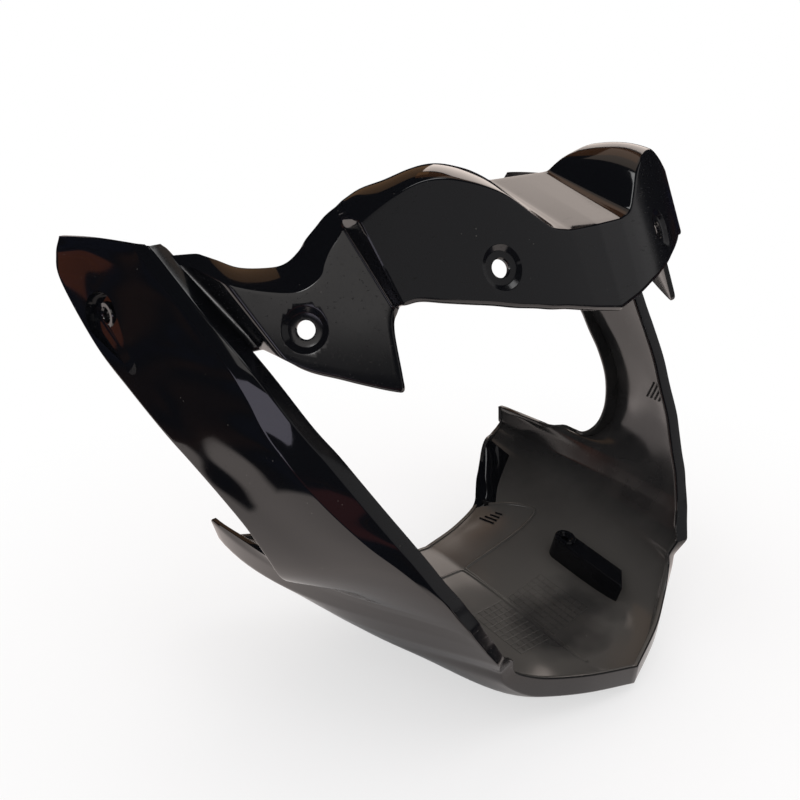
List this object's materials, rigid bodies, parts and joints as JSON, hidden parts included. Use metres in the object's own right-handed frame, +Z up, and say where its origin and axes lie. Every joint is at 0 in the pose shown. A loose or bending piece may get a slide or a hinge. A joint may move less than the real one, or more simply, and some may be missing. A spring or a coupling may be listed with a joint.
{
  "type": "headlight cowl",
  "caption": "One-piece moulded cowl that frames a motorbike headlight: humped brow with screw seats, swept side wings with cut-outs, and a dished chin.",
  "frame": {"origin": "middle of the footprint, at the height of the lowest point of the chin", "axes": "front faces -Y, +Z up as fitted, +X to the right seen from the front; mirrored about X = 0"},
  "size_m": [0.3422, 0.2393, 0.2632],
  "materials": {
    "gloss_abs": "gloss black injection-moulded ABS, satin on the inner faces"
  },
  "bodies": {
    "root": {"cowl": "gloss_abs"}
  },
  "joints": []
}
